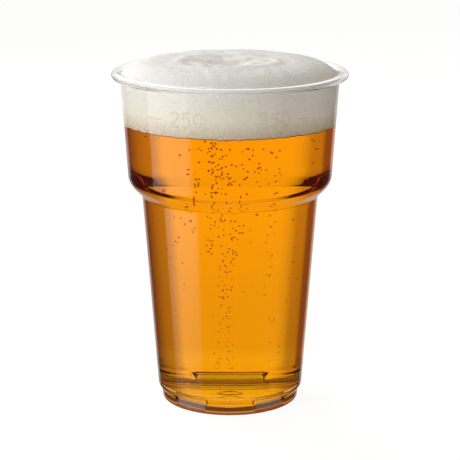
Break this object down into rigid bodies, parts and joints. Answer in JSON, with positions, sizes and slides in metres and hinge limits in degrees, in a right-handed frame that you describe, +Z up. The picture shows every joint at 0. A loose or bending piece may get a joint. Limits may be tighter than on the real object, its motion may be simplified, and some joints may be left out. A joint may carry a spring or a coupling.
{
  "type": "plastic cup of beer",
  "caption": "Clear stepped plastic cup with a rolled rim, filled with amber beer under a thick, domed head of white foam.",
  "frame": {"origin": "middle of the cup's standing face, on the surface that it stands on", "axes": "+Z up along the cup's axis, -Y towards the front, +X to the right as seen from the front"},
  "size_m": [0.078, 0.078, 0.116],
  "materials": {
    "clear_plastic": "clear crystal polystyrene, moulded smooth",
    "beer": "clear amber liquid",
    "foam": "fine off-white foam"
  },
  "bodies": {
    "root": {"cup": "clear_plastic", "beer": "beer", "foam": "foam"}
  },
  "joints": []
}
